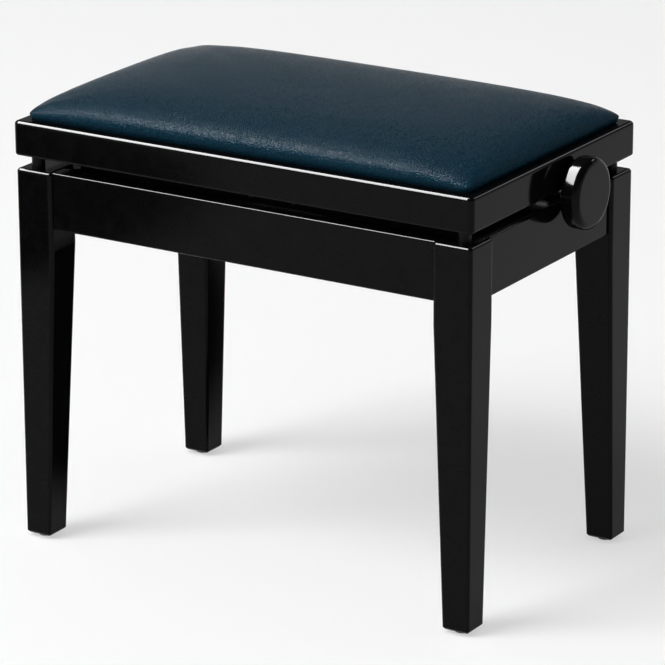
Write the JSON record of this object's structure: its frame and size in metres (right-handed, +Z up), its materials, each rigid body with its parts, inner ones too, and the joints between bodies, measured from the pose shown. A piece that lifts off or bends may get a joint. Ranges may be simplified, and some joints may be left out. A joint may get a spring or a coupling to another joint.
{
  "type": "piano stool",
  "caption": "Height-adjustable piano stool: tapered-leg base, framed seat with crowned cushion, and a scissor lift turned by side knobs on one spindle.",
  "frame": {"origin": "on the floor under the middle of the seat", "axes": "+X along the seat to the sitter's right, +Y to the back, +Z up"},
  "size_m": [0.608, 0.336, 0.49],
  "materials": {
    "lacquer": "high-gloss black lacquer",
    "bare_wood": "planed beech, stained black",
    "plywood": "plywood, stained black",
    "leatherette": "fine-grained navy leatherette",
    "foam": "open-cell foam",
    "steel": "satin black painted steel",
    "zinc_steel": "zinc-plated steel",
    "brass": "turned brass",
    "rubber": "matt black rubber",
    "nylon": "dark nylon",
    "knob_plastic": "gloss black"
  },
  "bodies": {
    "base": {"leg_front_left": "lacquer", "leg_front_right": "lacquer", "leg_back_left": "lacquer", "leg_back_right": "lacquer", "apron_front": "lacquer", "apron_back": "lacquer", "apron_left": "lacquer", "apron_right": "lacquer", "apron_dowels": "bare_wood", "corner_blocks": "bare_wood", "corner_block_screws": "zinc_steel", "foot_glides": "nylon", "glide_nails": "zinc_steel", "seat_bumpers": "rubber", "batten_left": "bare_wood", "batten_right": "bare_wood", "batten_dowels": "bare_wood", "base_rail_front": "steel", "base_rail_back": "steel", "base_rail_screws": "zinc_steel", "base_pivot_pins": "zinc_steel"},
    "left_base_arms": {"left_base_arm_front": "steel", "left_base_arm_back": "steel", "left_base_arm_rod": "zinc_steel"},
    "left_seat_arms": {"left_seat_arm_front": "steel", "left_seat_arm_back": "steel", "left_seat_arm_rod": "zinc_steel"},
    "left_nut": {"left_nut_bar": "steel", "left_spindle_nut": "brass"},
    "right_base_arms": {"right_base_arm_front": "steel", "right_base_arm_back": "steel", "right_base_arm_rod": "zinc_steel"},
    "right_seat_arms": {"right_seat_arm_front": "steel", "right_seat_arm_back": "steel", "right_seat_arm_rod": "zinc_steel"},
    "right_nut": {"right_nut_bar": "steel", "right_spindle_nut": "brass"},
    "stop_tube": {"stop_tube": "zinc_steel"},
    "spindle": {"spindle": "zinc_steel", "left_knob": "knob_plastic", "right_knob": "knob_plastic", "knob_grub_screws": "zinc_steel"},
    "seat": {"seat_rail_front": "lacquer", "seat_rail_back": "lacquer", "seat_rail_left": "lacquer", "seat_rail_right": "lacquer", "seat_corner_blocks": "bare_wood", "board_screws": "zinc_steel", "seat_board": "plywood", "foam_pad": "foam", "seat_cover": "leatherette", "lift_rail_front": "steel", "lift_rail_back": "steel", "lift_rail_screws": "zinc_steel", "seat_pivot_pins": "zinc_steel"}
  },
  "joints": [
    {"name": "lift", "type": "hinge", "parent": "base", "child": "left_base_arms", "pos_m": [-0.025, 0, 0.404], "axis": [0, 1, 0], "range_deg": [0, 27.46]},
    {"name": "left_crossing", "type": "hinge", "parent": "left_base_arms", "child": "left_seat_arms", "pos_m": [-0.1265, 0, 0.42], "axis": [0, 1, 0], "range_deg": [-56.01, 0]},
    {"name": "seat_level", "type": "hinge", "parent": "left_seat_arms", "child": "seat", "pos_m": [-0.025, 0, 0.436], "axis": [0, 1, 0], "range_deg": [0, 28.01]},
    {"name": "left_nut_level", "type": "hinge", "parent": "left_base_arms", "child": "left_nut", "pos_m": [-0.1265, 0, 0.42], "axis": [0, 1, 0], "range_deg": [-28.01, 0]},
    {"name": "right_base_arm_hinge", "type": "hinge", "parent": "base", "child": "right_base_arms", "pos_m": [0.025, 0, 0.404], "axis": [0, 1, 0], "range_deg": [-28.01, 0]},
    {"name": "right_crossing", "type": "hinge", "parent": "right_base_arms", "child": "right_seat_arms", "pos_m": [0.1265, 0, 0.42], "axis": [0, 1, 0], "range_deg": [0, 56.01]},
    {"name": "right_nut_level", "type": "hinge", "parent": "right_base_arms", "child": "right_nut", "pos_m": [0.1265, 0, 0.42], "axis": [0, 1, 0], "range_deg": [0, 28.01]},
    {"name": "nut_travel", "type": "slide", "parent": "left_nut", "child": "stop_tube", "axis": [1, 0, 0], "range_m": [-0.01919, 0]},
    {"name": "knob_turn", "type": "hinge", "parent": "stop_tube", "child": "spindle", "pos_m": [0, 0.028, 0.42], "axis": [1, 0, 0], "range_deg": [-2302.58, 0]}
  ],
  "couplings": [
    {"joint": "left_crossing", "follows": "lift", "ratio": -2},
    {"joint": "seat_level", "follows": "lift", "ratio": 1},
    {"joint": "left_nut_level", "follows": "lift", "ratio": -1},
    {"joint": "right_base_arm_hinge", "follows": "lift", "ratio": -1},
    {"joint": "right_crossing", "follows": "lift", "ratio": 2},
    {"joint": "right_nut_level", "follows": "lift", "ratio": 1},
    {"joint": "nut_travel", "follows": "lift", "m_per_rad": -0.039254},
    {"joint": "knob_turn", "follows": "lift", "ratio": -82.214}
  ]
}
